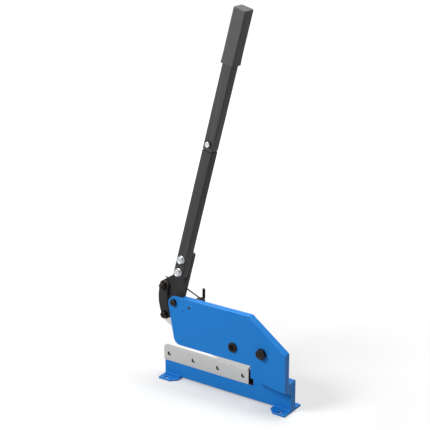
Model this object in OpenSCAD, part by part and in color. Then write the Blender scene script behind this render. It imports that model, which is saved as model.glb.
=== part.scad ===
// Bench plate shear: a welded foot and web with the fixed blade, a double cheek, a moving blade
// on one large pivot bolt, and a hand lever that draws the blade down through a curved link.
// Millimetres, Z up. Origin on the ground, midway between the two foot holes. The front is -Y.

/* [Base] */
// Length of the base web
base_l = 302; // [280:1:340]
// Thickness of the base web
web_t = 15; // [12:0.5:20]
// Height of the web's top edge above the ground
web_top = 64.5; // [60:0.5:80]
// Thickness of each foot plate
foot_t = 4; // [3:0.5:8]
// Length of a foot plate along the base
foot_w = 40; // [36:1:50]
// Depth of a foot plate from front to back
foot_d = 60; // [50:1:80]
// How far the feet stand out in front of the web
foot_front = 23.5; // [21:0.5:30]
// Length of the cut inner corner of each foot
foot_clip = 12.5; // [6:0.5:16]
// Distance of each foot hole from its end of the base
hole_in = 15; // [9:0.5:17]
// Distance of the foot holes in front of the web
hole_front = 15.5; // [10:0.5:16]
// Diameter of the foot holes
foot_hole_d = 9.5; // [6:0.5:10]
// Leg of the weld beads between web and feet
weld_leg = 3.5; // [2:0.5:5]

/* [Fixed blade] */
// Length of the fixed blade
low_l = 206; // [190:1:208]
// Height of the fixed blade
low_h = 30.4; // [26:0.2:34]
// Thickness of the fixed blade
low_t = 10; // [8:0.5:11]
// How far the blade's top lies below the web's top
low_drop = 0.5; // [0:0.1:2]
// How far the blade's left end stands past the web
low_over = 2.4; // [0:0.2:6]
// Distance of the outer blade bolts from the blade's ends
low_end = 13; // [9:0.5:20]
// Gap at the right end of the blade's seat
seat_gap = 11.5; // [4:0.5:14]

/* [Cheek] */
// Height of the cheek's top edge above the ground
cheek_top = 190; // [184:1:200]
// Thickness of the front cheek plate
cheek_t = 6; // [5:0.5:8]
// Thickness of the inner cheek plate
inner_t = 9; // [8:0.5:12]
// Height of the jaw's edge above the fixed blade
jaw_open = 24.5; // [20:0.5:30]
// Distance of the throat from the right end
throat_in = 77.5; // [72:0.5:84]
// Length of the slanted corner along the base
slant_l = 82.5; // [60:0.5:90]
// Height of the slanted corner
slant_h = 60.5; // [40:0.5:64]
// Height of the cheek's lower right corner above the ground
cheek_low = 52; // [48:0.5:54]
// Distance of the cheek's top left corner from the left end
cheek_left = 25; // [22:0.5:28]
// How far the left edge runs in towards its lower end
cheek_rake = 18; // [12:0.5:22]
// Radius of the two left corners
cheek_r = 16; // [8:0.5:18]
// Distance of the inner plate's left edge from the left end
inner_left = 57; // [56:0.5:59]

/* [Moving blade] */
// Working gap on each side of the moving blade and the lever plate
run_gap = 0.2; // [0.1:0.05:0.3]
// Distance of the main pivot from the right end
pivot_in = 52.5; // [50:0.5:56]
// Height of the main pivot above the fixed blade
pivot_up = 57; // [55:0.5:60]
// Distance from the main pivot to the left end of the cutting edge
edge_reach = 248.5; // [244:0.5:252]
// Length of the curved cutting edge along the base
edge_l = 205; // [195:1:208]
// Gap between the two blades at the throat at rest
edge_gap = 2.5; // [1:0.5:4]
// Rise of the cutting edge from the throat to the tip
edge_rise = 63.5; // [56:0.5:66]
// Radius of the blade's left end round the link bolt
nose_r = 13; // [11:0.5:14]
// Radius of the blade's heel round the main pivot
heel_r = 24; // [22:0.5:26]
// Distance of the bar hole from the main pivot
bar_in = 66.5; // [60:0.5:80]
// How far the bar hole lies below the main pivot
bar_down = 4; // [0:0.5:12]
// Diameter of the bar hole
bar_d = 10.5; // [8:0.5:11]
// Outer diameter of the bar bushing
bush_d = 20; // [19:0.5:26]
// Height of the bar bushing's collar
bush_h = 3; // [1:0.5:5]

/* [Pivot bolts] */
// Shank diameter of the main pivot bolt
main_d = 12; // [10:0.5:14]
// Width across flats of the main pivot bolt
main_af = 19; // [17:0.5:22]
// Diameter of the small bolts
bolt_d = 8; // [6:0.5:8]
// Width across flats of the small bolts
bolt_af = 13; // [10:0.5:13]

/* [Lever] */
// Distance of the lever pivot from the left end
lever_in = 42; // [41:0.5:43]
// How far the lever pivot lies below the cheek's top
lever_down = 12; // [11:0.5:14]
// Distance from the lever pivot to the link bolt along the base
ear_x = 31; // [28:0.5:32]
// Height of the link bolt above the lever pivot
ear_z = 26; // [24:0.5:28]
// Radius of the lever's ear
ear_r = 10.5; // [9:0.5:11]
// Radius of the lever plate round its pivot
boss_r = 14; // [12:0.5:17]
// Height of the lever plate above its pivot along the handle
plate_up = 108; // [108:1:118]
// Lean of the handle from upright
lean = 15; // [10:0.5:18]

/* [Link] */
// Fall of the link from its upper bolt to its lower bolt
link_drop = 61; // [60:0.5:62]
// Sideways step of the link's lower bolt
link_step = 2.5; // [1:0.5:3]
// Width of the link
link_w = 21; // [18:0.5:22]
// Thickness of the link
link_t = 6; // [4:0.5:6]
// How far the link bows to the left
link_bow = 6; // [2:0.5:7]

/* [Handle] */
// Outside width of the square handle tubes
tube_w = 22; // [20:0.5:23]
// Wall of the handle tubes
tube_wall = 2; // [1.5:0.1:3]
// Distance of the lower tube's foot above the lever pivot
tube_foot = 60; // [58:0.5:64]
// Length of the lower tube
lower_l = 275; // [200:1:320]
// Gap between the two tubes
tube_gap = 3; // [1:0.5:5]
// Length of the upper tube
upper_l = 274; // [220:1:320]
// Outside width of the grip
grip_w = 29; // [26:0.5:32]
// Length of the grip
grip_l = 107; // [80:1:130]
// Spacing of the two bolts that hold the tube to the lever plate
tube_pitch = 28.5; // [26:0.5:28.5]
// Width across flats of the coupling bolt
coup_af = 10; // [8:0.5:10]
// Diameter of the coupling bolt
coup_d = 6; // [5:0.5:6]

/* [Return spring] */
// Diameter of the spring pin and of the rivet beside it
pin_d = 6; // [5:0.5:7]
// Distance of the bracket's rivet from the lever pivot along the base
rivet_x = 36.5; // [35:0.5:38]
// How far the rivet lies below the lever pivot
rivet_down = 4.4; // [3:0.1:6]
// Distance of the spring pin from the lever pivot along the base
pin_x = 42; // [42:0.5:46]
// How far the spring pin lies above the lever pivot
pin_up = 1; // [0:0.1:2]
// How far the pin reaches behind the cheek
pin_back = 28.5; // [28:0.5:34]
// Height of the pin's upright end above its axis
pin_rise = 21; // [15:0.5:30]
// Depth of the spring's bracket behind the cheek
bracket_d = 14; // [12:0.5:14]
// Diameter of the spring wire
wire_d = 2.8; // [2:0.1:2.8]
// Mean radius of the spring's coil
coil_r = 6.5; // [6:0.1:7]
// Advance of the coil in one turn
coil_pitch = 3.2; // [3.1:0.1:3.3]
// Full turns of the coil
coil_turns = 2; // [1:1:2]

/* [Hidden] */
$fn = 48;

// Cuts run this far past the faces that they open
over = 1;
// Clearance of a bolt in its hole, of a turning fit, and of parts that slip together
bolt_clear = 0.1;
fit = 0.05;
slip = 0.2;

// Layers from front to back, measured from the web's front face
mid_t = low_t;                       // room for the moving blade and the lever plate
y_inner_back = -mid_t;
y_inner_front = y_inner_back - inner_t;
y_cheek_front = y_inner_front - cheek_t;
plate_t = mid_t - 2 * run_gap;       // thickness of the moving blade and of the lever plate
y_plate = -mid_t + run_gap;          // front face of that layer
y_link_back = y_plate - run_gap;     // rear face of the front link
y_link = y_link_back - link_t;
y_rear = y_plate + plate_t + run_gap;   // front face of the rear link
y_rear_back = y_rear + link_t;
y_bracket = y_inner_back + bracket_d;   // rear face of the spring's bracket

// Heights
z_blade = web_top - low_drop;        // top of the fixed blade
z_seat = z_blade - low_h;            // floor of the blade's seat
z_jaw = z_blade + jaw_open;
throat_step = 1.2;                   // the throat's lower corner lies this far below the blade's top
z_throat = z_blade - throat_step;
z_main = z_blade + pivot_up;
z_lever = cheek_top - lever_down;

// Places along the base, from its left end
x_main = base_l - pivot_in;
x_bar = x_main - bar_in;
z_bar = z_main - bar_down;
x_throat = base_l - throat_in;
x_ear = lever_in - ear_x;
z_ear = z_lever + ear_z;
x_nose = x_ear + link_step;
z_nose = z_ear - link_drop;
x_rivet = lever_in + rivet_x;
z_rivet = z_lever - rivet_down;
x_pin = lever_in + pin_x;
z_pin = z_lever + pin_up;
x_seat_end = low_l - low_over + seat_gap;
low_bolts = 4;
low_pitch = (low_l - 2 * low_end) / (low_bolts - 1);
// The spring's fixed end goes through the cheek left of and below the rivet
hook_x = 15.5;
hook_down = 10.2;
hook_hole_r = 1.6;

// Usual proportions of hexagon bolts, nuts and washers, as shares of the bolt's diameter
head_share = 0.65;
nut_share = 0.8;
washer_share = 0.2;
washer_d_share = 2;
end_share = 0.2;                     // a bolt's end stands this far out of its nut
// A head's turned face: its height as a share of the head, its width as a share of the flats
crown_share = 0.1;
face_share = 0.95;

module place() { translate([-base_l / 2, hole_front, 0]) children(); }

function unit2(v) = v / norm(v);
// Outline with every corner p[i] rounded to radius r[i]
function rounded(p, r, n = 6) = [for (i = [0 : len(p) - 1])
    let (a = unit2(p[(i + len(p) - 1) % len(p)] - p[i]), b = unit2(p[(i + 1) % len(p)] - p[i]),
         half = acos(max(-1, min(1, a * b))) / 2,
         c = p[i] + unit2(a + b) * r[i] / sin(half),
         s = p[i] + a * r[i] / tan(half), e = p[i] + b * r[i] / tan(half),
         a0 = atan2(s[1] - c[1], s[0] - c[0]), a1 = atan2(e[1] - c[1], e[0] - c[0]),
         d = (a1 - a0 + 540) % 360 - 180)
    each (r[i] == 0 ? [p[i]] : [for (k = [0 : n]) c + r[i] * [cos(a0 + d * k / n), sin(a0 + d * k / n)]])];

// Upright plate from an outline in X and Z, from depth y to y + t
module plate(outline, y, t) {
    translate([0, y + t, 0]) rotate([90, 0, 0]) linear_extrude(height = t) polygon(outline);
}
// Round bar or bore along Y
module round_y(x, z, r, y0, y1) {
    translate([x, y1, z]) rotate([90, 0, 0]) cylinder(r = r, h = y1 - y0);
}
// Two round ends along Y, at a and b with radii ra and rb, and what lies between them
module oblong_y(a, ra, b, rb, y0, y1) {
    u = unit2(b - a);
    s = (ra - rb) / norm(b - a);
    v = [-u[1], u[0]] * sqrt(1 - s * s);
    round_y(a[0], a[1], ra, y0, y1);
    round_y(b[0], b[1], rb, y0, y1);
    plate([a + ra * (u * s + v), b + rb * (u * s + v), b + rb * (u * s - v), a + ra * (u * s - v)],
          y0, y1 - y0);
}
// Hexagon along Y
module hex_y(x, z, af, y0, y1) {
    translate([x, y1, z]) rotate([90, 0, 0]) cylinder(d = af / cos(180 / 6), h = y1 - y0, $fn = 6);
}
// Hexagon head with a turned face: a hexagon and a thin disc on its front
module head_y(x, z, af, y_seat, h) {
    crown = h * crown_share;
    hex_y(x, z, af, y_seat - h + crown, y_seat);
    round_y(x, z, af / 2 * face_share, y_seat - h, y_seat - h + crown);
}

// Base
module foot(side) {
    // side 0: left end, side 1: right end; the cut corner faces the middle
    outline = rounded([[0, -foot_front], [foot_w - foot_clip, -foot_front],
                       [foot_w, -foot_front + foot_clip], [foot_w, foot_d - foot_front],
                       [0, foot_d - foot_front]], [1, 1, 1, 1, 1] * foot_corner, 4);
    translate([side * base_l, 0, 0]) mirror([side, 0, 0]) difference() {
        linear_extrude(height = foot_t) polygon(outline);
        translate([hole_in, -hole_front, -over])
            cylinder(d = foot_hole_d, h = foot_t + 2 * over);
    }
}
foot_corner = 0.5;
module foot_left() { color("#2e7ac6") place() foot(0); }
module foot_right() { color("#2e7ac6") place() foot(1); }

module base_web() {
    color("#2a72bb") place() difference() {
        translate([0, 0, foot_t]) cube([base_l, web_t, web_top - foot_t]);
        translate([-over, -over, z_seat]) cube([x_seat_end + over, low_t + over, web_top - z_seat + over]);
        // the wall behind the blade stays just under the blade's top
        translate([-over, -over, z_blade - back_drop])
            cube([x_seat_end + over, web_t + 2 * over, web_top]);
        for (i = [0 : low_bolts - 1]) round_y(low_end - low_over + i * low_pitch, z_seat + low_h / 2,
                                              bolt_d / 2 + bolt_clear, low_t - over, web_t + over);
    }
}
back_drop = 4;

// Fillet welds where the web stands on the feet, in front and behind
module bead(x0, x1, y, way) {
    outline = [[0, 0], [weld_leg, 0], [weld_leg / 2, weld_leg / 2 * bead_share], [0, weld_leg]];
    translate([x0, y, foot_t]) rotate([90, 0, 90])
        linear_extrude(height = x1 - x0) polygon([for (q = outline) [way * q[0], q[1]]]);
}
bead_share = 0.8;
module foot_welds() {
    inset = weld_leg / 2;
    color("#3c86cf") place() {
        for (x = [inset, base_l - foot_w + inset]) {
            bead(x, x + foot_w - 2 * inset, 0, -1);
            bead(x, x + foot_w - 2 * inset, web_t, 1);
        }
    }
}

// Cheek: its lower edge falls from the throat in a soft S to a level run at the right end
lip = 10;                            // length of that level run
lower_n = 8;
small_r = 4;                         // radius of the cheek's right corners
edge_r = 1;                          // radius of its lower right corner
function fall(t) = (1 - cos(180 * t)) / 2;
function low_z(x) = z_throat - (z_throat - cheek_low) * fall((x - x_throat) / (base_l - lip - x_throat));
lower_edge = [for (i = [0 : lower_n]) let (x = x_throat + (base_l - lip - x_throat) * i / lower_n)
              [x, low_z(x)]];
right_end = [[base_l, cheek_low], [base_l, cheek_top - slant_h], [base_l - slant_l, cheek_top]];
right_radii = concat([for (q = lower_edge) 0], [edge_r, small_r, small_r]);
module cheek_bores(y0, y1) {
    round_y(x_main, z_main, main_d / 2 + bolt_clear, y0, y1);
    round_y(x_rivet, z_rivet, pin_d / 2 + fit, y0, y1);
    round_y(x_rivet - hook_x, z_rivet - hook_down, hook_hole_r, y0, y1);
    round_y(x_bar, z_bar, bush_d / 2 - bush_step, y0, y1);
}
module front_cheek() {
    left = [[cheek_left, cheek_top], [cheek_left + cheek_rake, z_jaw], [x_throat, z_jaw]];
    color("#2e7ac6") place() difference() {
        plate(rounded(concat(left, lower_edge, right_end), concat([cheek_r, cheek_r, 0], right_radii)),
              y_cheek_front, cheek_t);
        cheek_bores(y_cheek_front - over, y_inner_front + over);
        round_y(lever_in, z_lever, bolt_d / 2 + bolt_clear, y_cheek_front - over, y_inner_front + over);
    }
}
module inner_cheek() {
    left = [[inner_left, cheek_top], [inner_left, z_jaw], [x_throat, z_jaw]];
    color("#2a74be") place() difference() {
        plate(rounded(concat(left, lower_edge, right_end), concat([small_r, small_r, 0], right_radii)),
              y_inner_front, inner_t);
        cheek_bores(y_inner_front - over, y_inner_back + over);
    }
}
// Filler between cheek and web at the right end; its left end clears the moving blade's heel
spacer_l = 62;
module spacer_block() {
    x0 = base_l - spacer_l;
    outline = concat([[base_l, web_top], [x0, web_top], [x0, low_z(x0)]],
                     [for (q = lower_edge) if (q[0] > x0 + over) q], [[base_l, cheek_low]]);
    color("#2a72bb") place() plate(outline, y_inner_back, mid_t);
}
// Gusset that carries the cheek's end down to the web
gusset_drop = 13.6;
module end_gusset() {
    color("#2a72bb") place() translate([base_l - lip, 0, 0]) rotate([90, 0, 90])
        linear_extrude(height = lip)
            polygon([[y_cheek_front, cheek_low], [0, cheek_low - gusset_drop], [0, cheek_low]]);
}
// Flanged steel bushing that guides round bar into the moving blade's hole
bush_step = 2.5;
module bar_bushing() {
    color("#2a2522") place() difference() {
        union() {
            round_y(x_bar, z_bar, bush_d / 2, y_cheek_front - bush_h, y_cheek_front);
            round_y(x_bar, z_bar, bush_d / 2 - bush_step, y_cheek_front, y_inner_back);
        }
        round_y(x_bar, z_bar, bar_d / 2, y_cheek_front - bush_h - over, y_inner_back + over);
    }
}

// Blades
tap_back = 5;                        // the bolts end this far behind the blade's front face
module lower_blade() {
    color("#c3c3c3") place() difference() {
        translate([-low_over, 0, z_seat]) cube([low_l, low_t, low_h]);
        for (i = [0 : low_bolts - 1]) round_y(low_end - low_over + i * low_pitch, z_seat + low_h / 2,
                                              bolt_d / 2 + fit, -over, low_t + over);
    }
}
module lower_blade_bolts() {
    color("#d8d8d8") place() for (i = [0 : low_bolts - 1]) {
        x = low_end - low_over + i * low_pitch;
        z = z_seat + low_h / 2;
        round_y(x, z, bolt_d / 2, tap_back, web_t);
        translate([x, web_t, z]) mirror([0, 1, 0]) head_y(0, 0, bolt_af, 0, bolt_d * head_share);
    }
}

// The cutting edge falls steeply at the tip and flattens towards the throat
line_share = 0.154;
edge_n = 14;
x_edge = x_main + edge_l - edge_reach;
z_edge = z_blade + edge_gap;
function edge_z(t) = z_edge + edge_rise * (line_share * t + (1 - line_share) * t * t);
// The heel's slot takes the sideways drift of the constant-ratio linkage
drift = 12.7;
drift_z = 1.6;                       // its small drift up and down, taken on all sides
slot_r = main_d / 2 + drift_z;
tail_r = 18;
// Lower corners of the heel, as shares of its radius: left of the pivot, right of and above the edge
heel_shares = [0.7, 0.3, 0.5];
module upper_blade() {
    body = concat([for (i = [0 : edge_n]) let (t = i / edge_n) [x_edge - edge_l * t, edge_z(t)]],
                  [[x_nose - nose_r, z_nose], [x_nose, z_nose + nose_r],
                   [x_main, z_main + heel_r], [x_main + drift, z_main + tail_r],
                   [x_main + drift, z_main - tail_r], [x_main - heel_r * heel_shares[0], z_main - heel_r],
                   [x_edge + heel_r * heel_shares[1], z_edge + heel_r * heel_shares[2]]]);
    color("#c9c9c9") place() difference() {
        union() {
            plate(body, y_plate, plate_t);
            round_y(x_nose, z_nose, nose_r, y_plate, y_plate + plate_t);
            round_y(x_main, z_main, heel_r, y_plate, y_plate + plate_t);
            round_y(x_main + drift, z_main, tail_r, y_plate, y_plate + plate_t);
        }
        round_y(x_nose, z_nose, bolt_d / 2 + fit, y_plate - over, over);
        round_y(x_bar, z_bar, bar_d / 2, y_plate - over, over);
        round_y(x_main, z_main, slot_r, y_plate - over, over);
        round_y(x_main + drift, z_main, slot_r, y_plate - over, over);
        translate([x_main, y_plate - over, z_main - slot_r]) cube([drift, plate_t + 2 * over, 2 * slot_r]);
    }
}

// Main pivot
main_head = main_d * head_share;
main_washer_t = main_d * washer_share;
module main_pivot_bolt() {
    end = main_washer_t + main_d * (nut_share + end_share);
    color("#2a2522") place() {
        head_y(x_main, z_main, main_af, y_cheek_front, main_head);
        round_y(x_main, z_main, main_d / 2, y_cheek_front, end);
    }
}
module main_pivot_washer() {
    color("#4a4642") place() difference() {
        round_y(x_main, z_main, main_d / 2 * washer_d_share, 0, main_washer_t);
        round_y(x_main, z_main, main_d / 2 + bolt_clear, -over, main_washer_t + over);
    }
}
module main_pivot_nut() {
    y1 = main_washer_t + main_d * nut_share;
    color("#2a2522") place() difference() {
        hex_y(x_main, z_main, main_af, main_washer_t, y1);
        round_y(x_main, z_main, main_d / 2 + fit, main_washer_t - over, y1 + over);
    }
}

// Lever
tube_off = -2;                       // the handle's axis passes this far left of the lever pivot
function along(s, q = 0) = [lever_in + s * sin(lean) + (tube_off + q) * cos(lean),
                            z_lever + s * cos(lean) - (tube_off + q) * sin(lean)];
first_bolt = 11.5;                     // lower bolt of the tube, above the tube's foot
s_bolt = tube_foot + first_bolt;
sleeve_r = 8;
collar_r = 11;
module lever_plate() {
    up = unit2([-ear_x, ear_z]);
    out = [-up[1], up[0]];
    ear = [x_ear, z_ear];
    piv = [lever_in, z_lever];
    neck = along(tube_foot, -tube_w / 2);
    // where the straight edge from the tube's foot meets the ear
    turn = atan2(neck[1] - ear[1], neck[0] - ear[0]) + acos(ear_r / norm(neck - ear));
    body = [piv + boss_r * out, ear + ear_r * out, ear + ear_r * [cos(turn), sin(turn)], neck,
            along(plate_up, -tube_w / 2), along(plate_up, tube_w / 2), along(0, tube_w / 2)];
    color("#3c3c3c") place() difference() {
        union() {
            plate(body, y_plate, plate_t);
            round_y(x_ear, z_ear, ear_r, y_plate, y_plate + plate_t);
            round_y(lever_in, z_lever, boss_r, y_plate, y_plate + plate_t);
        }
        round_y(lever_in, z_lever, sleeve_r + fit, y_plate - over, over);
        round_y(x_ear, z_ear, bolt_d / 2 + fit, y_plate - over, over);
        for (i = [0, 1]) let (q = along(s_bolt + i * tube_pitch))
            round_y(q[0], q[1], bolt_d / 2 + bolt_clear, y_plate - over, over);
    }
}
// Shouldered sleeve: its collar fills the room beside the inner plate, the lever turns on its neck
module lever_pivot_sleeve() {
    color("#6b6763") place() difference() {
        union() {
            round_y(lever_in, z_lever, collar_r, y_inner_front, -mid_t);
            round_y(lever_in, z_lever, sleeve_r, -mid_t, 0);
        }
        round_y(lever_in, z_lever, bolt_d / 2 + bolt_clear, y_inner_front - over, over);
    }
}
small_head = bolt_d * head_share;
small_washer = bolt_d * washer_share;
sleeve_lap = 2;                      // the washer reaches this far over the lever plate
module lever_pivot_bolt() {
    end = small_washer + bolt_d * (nut_share + end_share);
    color("#2a2522") place() {
        head_y(lever_in, z_lever, bolt_af, y_cheek_front, small_head);
        round_y(lever_in, z_lever, bolt_d / 2, y_cheek_front, end);
    }
}
module lever_pivot_washer() {
    color("#4a4642") place() difference() {
        round_y(lever_in, z_lever, sleeve_r + sleeve_lap, 0, small_washer);
        round_y(lever_in, z_lever, bolt_d / 2 + bolt_clear, -over, small_washer + over);
    }
}
module lever_pivot_nut() {
    y1 = small_washer + bolt_d * nut_share;
    color("#2a2522") place() difference() {
        hex_y(lever_in, z_lever, bolt_af, small_washer, y1);
        round_y(lever_in, z_lever, bolt_d / 2 + fit, small_washer - over, y1 + over);
    }
}

// Link: a pair of flat bars bowed to the left, one on each side of the ear and of the blade
link_n = 12;
bow_share = 0.6;                     // share of the bow that the right edge follows
waist_share = 0.12;                  // how much narrower the link is at its middle
function link_mid(t) = [x_ear + link_step * t - link_bow * sin(180 * t) * bow_share, z_ear - link_drop * t];
module link_bar(y) {
    left = [for (i = [0 : link_n]) let (t = i / link_n)
            link_mid(t) - [link_w / 2 * (1 - waist_share * sin(180 * t))
                           + link_bow * (1 - bow_share) * sin(180 * t), 0]];
    right = [for (i = [link_n : -1 : 0]) let (t = i / link_n)
             link_mid(t) + [link_w / 2 * (1 - waist_share * sin(180 * t)), 0]];
    difference() {
        union() {
            plate(concat(left, right), y, link_t);
            for (q = link_ends) round_y(q[0], q[1], link_w / 2, y, y + link_t);
        }
        for (q = link_ends) round_y(q[0], q[1], bolt_d / 2 + fit, y - over, y + link_t + over);
    }
}
link_ends = [[x_ear, z_ear], [x_nose, z_nose]];
module link_front() { color("#33302d") place() link_bar(y_link); }
module link_rear() { color("#33302d") place() link_bar(y_rear); }
// Studs screwed into the rear bar and locked by a nut in front; the spring rests on the upper one's end
stud_out = 3.6;
module link_studs() {
    color("#2a2522") place() for (q = link_ends)
        round_y(q[0], q[1], bolt_d / 2, y_link - small_washer - bolt_d * (nut_share + end_share),
                y_rear_back + stud_out);
}
module link_washers() {
    color("#4a4642") place() for (q = link_ends) difference() {
        round_y(q[0], q[1], bolt_d / 2 * washer_d_share, y_link - small_washer, y_link);
        round_y(q[0], q[1], bolt_d / 2 + fit, y_link - small_washer - over, y_link + over);
    }
}
module link_nuts() {
    y1 = y_link - small_washer;
    color("#2a2522") place() for (q = link_ends) difference() {
        hex_y(q[0], q[1], bolt_af, y1 - bolt_d * nut_share, y1);
        round_y(q[0], q[1], bolt_d / 2 + fit, y1 - bolt_d, y1 + over);
    }
}

// Handle, drawn upright with its axis on Z and then leaned over the lever pivot
y_tube = y_plate - tube_w / 2;       // the handle's middle plane; its rear face lies on the lever plate
module on_handle() {
    place() translate([lever_in, 0, z_lever]) rotate([0, lean, 0]) translate([tube_off, 0, 0]) children();
}
tube_r = 2;
s_joint = tube_foot + lower_l;
coup_rise = 13;                      // coupling bolt above the upper tube's foot
s_coup = s_joint + tube_gap + coup_rise;
grip_cap = 6;                        // solid end of the grip above the tube
s_grip = s_joint + tube_gap + upper_l - grip_l + grip_cap;
function square_outline(w, r) = rounded([[-w / 2, -w / 2], [w / 2, -w / 2], [w / 2, w / 2], [-w / 2, w / 2]],
                                        [r, r, r, r], 5);
module square_tube(w, r, wall, l) {
    linear_extrude(height = l) difference() {
        polygon(square_outline(w, r));
        polygon(square_outline(w - 2 * wall, r / 2));
    }
}
module cross_hole(s, d) { round_y(0, s, d / 2, y_plate - tube_w - over, over); }
module lower_tube() {
    color("#464646") on_handle() difference() {
        translate([0, y_tube, tube_foot]) square_tube(tube_w, tube_r, tube_wall, lower_l);
        for (i = [0, 1]) cross_hole(s_bolt + i * tube_pitch, bolt_d + 2 * bolt_clear);
    }
}
flange_share = 1.03;                 // radius of these bolts' flanges, as a share of their diameter
module tube_bolts() {
    color("#dcdcdc") on_handle() for (i = [0, 1]) {
        round_y(0, s_bolt + i * tube_pitch, bolt_d * flange_share, y_plate - tube_w - small_washer,
                y_plate - tube_w);
        head_y(0, s_bolt + i * tube_pitch, bolt_af, y_plate - tube_w - small_washer, small_head);
        round_y(0, s_bolt + i * tube_pitch, bolt_d / 2, y_plate - tube_w,
                y_plate + plate_t + bolt_d * (nut_share + end_share));
    }
}
module tube_nuts() {
    y0 = y_plate + plate_t;
    color("#c8c8c8") on_handle() for (i = [0, 1]) difference() {
        hex_y(0, s_bolt + i * tube_pitch, bolt_af, y0, y0 + bolt_d * nut_share);
        round_y(0, s_bolt + i * tube_pitch, bolt_d / 2 + fit, y0 - over, y0 + bolt_d);
    }
}
bar_half = 42;                       // reach of the coupling bar into each tube
module coupling_bar() {
    w = tube_w - 2 * tube_wall - 2 * slip;
    color("#3a3a3a") on_handle() difference() {
        translate([0, y_tube, s_joint - bar_half])
            linear_extrude(height = 2 * bar_half + tube_gap) polygon(square_outline(w, tube_r / 2));
        cross_hole(s_coup, coup_d + 2 * bolt_clear);
    }
}
coup_washer_t = coup_d * washer_share;
coup_washer_share = 1.2;             // radius of the wide washer, as a share of the bolt's diameter
module coupling_bolt() {
    color("#e2e2e2") on_handle() {
        head_y(0, s_coup, coup_af, y_plate - tube_w - coup_washer_t, coup_d * head_share);
        round_y(0, s_coup, coup_d / 2, y_plate - tube_w - coup_washer_t,
                y_plate + coup_d * (nut_share + end_share));
    }
}
module coupling_washer() {
    y1 = y_plate - tube_w;
    color("#2c2c2c") on_handle() difference() {
        round_y(0, s_coup, coup_d * coup_washer_share, y1 - coup_washer_t, y1);
        round_y(0, s_coup, coup_d / 2 + bolt_clear, y1 - coup_washer_t - over, y1 + over);
    }
}
module coupling_nut() {
    color("#c8c8c8") on_handle() difference() {
        hex_y(0, s_coup, coup_af, y_plate, y_plate + coup_d * nut_share);
        round_y(0, s_coup, coup_d / 2 + fit, y_plate - over, y_plate + coup_d);
    }
}
module upper_tube() {
    color("#505050") on_handle() difference() {
        translate([0, y_tube, s_joint + tube_gap]) square_tube(tube_w, tube_r, tube_wall, upper_l);
        cross_hole(s_coup, coup_d + 2 * bolt_clear);
    }
}
grip_round = 4;
rim_share = 0.3;                     // height of the grip's flat rim, as a share of its rounding
module grip() {
    top = s_grip + grip_l;
    color("#555555") on_handle() difference() {
        translate([0, y_tube, 0]) hull() {
            translate([0, 0, s_grip]) linear_extrude(height = grip_l - grip_round)
                polygon(square_outline(grip_w, grip_round));
            translate([0, 0, top - grip_round * rim_share]) linear_extrude(height = grip_round * rim_share)
                polygon(square_outline(grip_w - grip_round, grip_round));
        }
        translate([0, y_tube, s_grip - over]) linear_extrude(height = grip_l - grip_cap + over)
            polygon(square_outline(tube_w + slip, tube_r));
    }
}

// Spring pin: a bar with a turned hub, set in a bracket behind the cheek and bent upright
pin = [x_pin, z_pin];
rivet = [x_rivet, z_rivet];
bracket_r = 9;                       // radius of the bracket round the rivet
bracket_end_r = 9;                   // radius of the bracket round the pin
module spring_bracket() {
    color("#2f2c29") place() difference() {
        oblong_y(rivet, bracket_r, pin, bracket_end_r, y_inner_back, y_bracket);
        for (q = [rivet, pin]) round_y(q[0], q[1], pin_d / 2 + fit, y_inner_back - over, y_bracket + over);
    }
}
module bracket_rivet() {
    color("#5a3a26") place() round_y(x_rivet, z_rivet, pin_d / 2, y_cheek_front, y_bracket);
}
pin_bend = 6;
hub_gap = 0.4;                       // room between the coil and the hub, and beside the coil
y_coil = y_bracket + hub_gap + wire_d / 2;   // middle plane of the coil's turn beside the bracket
module spring_pin() {
    r = pin_d / 2;
    y_up = y_inner_back + pin_back;
    color("#2b2926") place() {
        round_y(x_pin, z_pin, r, y_inner_back, y_up - pin_bend);
        round_y(x_pin, z_pin, coil_r - wire_d / 2 - hub_gap, y_bracket, y_far + wire_d / 2);
        translate([x_pin, y_up - pin_bend, z_pin + pin_bend]) rotate([0, 90, 0])
            rotate_extrude(angle = 90) translate([pin_bend, 0]) circle(r = r);
        translate([x_pin, y_up, z_pin + pin_bend]) cylinder(r = r, h = pin_rise - pin_bend);
        translate([x_pin, y_up, z_pin + pin_rise]) sphere(r = r);
    }
}

// Return spring: one wire from the hole in the cheek, round the pin's hub, and over the upper stud
ring_n = 6;                          // sides of the wire
turn_n = 8;                          // rings in one turn
hook = rivet - [hook_x, hook_down];
// The arm bends a little behind the lever plate, and lies on the stud behind the rear bar
knee_in = 2;                         // the bend lies this far left of the lever pivot
knee_up = 24;                        // and this far above it
knee = [lever_in - knee_in, z_lever + knee_up];
rest = [x_ear, z_ear + bolt_d / 2 + wire_d / 2 + bolt_clear];
y_arm = y_rear_back + hub_gap + wire_d / 2;
tip_share = 0.5;                     // length of the arm past the stud, as a share of the way from the bend
tip = rest + (rest - knee) * tip_share;
function ang(v) = atan2(v[1], v[0]);
a_in = ang(hook - pin) + acos(coil_r / norm(hook - pin));
a_out = ang(knee - pin) - acos(coil_r / norm(knee - pin)) + 360 * coil_turns;
y_far = y_coil + coil_pitch * (a_out - a_in) / 360;
coil_n = round((a_out - a_in) / 360 * turn_n);
coil_pts = [for (i = [0 : coil_n]) let (a = a_in + (a_out - a_in) * i / coil_n)
            [x_pin + coil_r * cos(a), y_coil + coil_pitch * (a_out - a) / 360, z_pin + coil_r * sin(a)]];
bend_share = 1.1;                    // radius of the fixed end's bend, in wires
bend_r = wire_d * bend_share;
in_share = 0.2;                      // the fixed end stays this far inside the cheek, in wires
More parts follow.
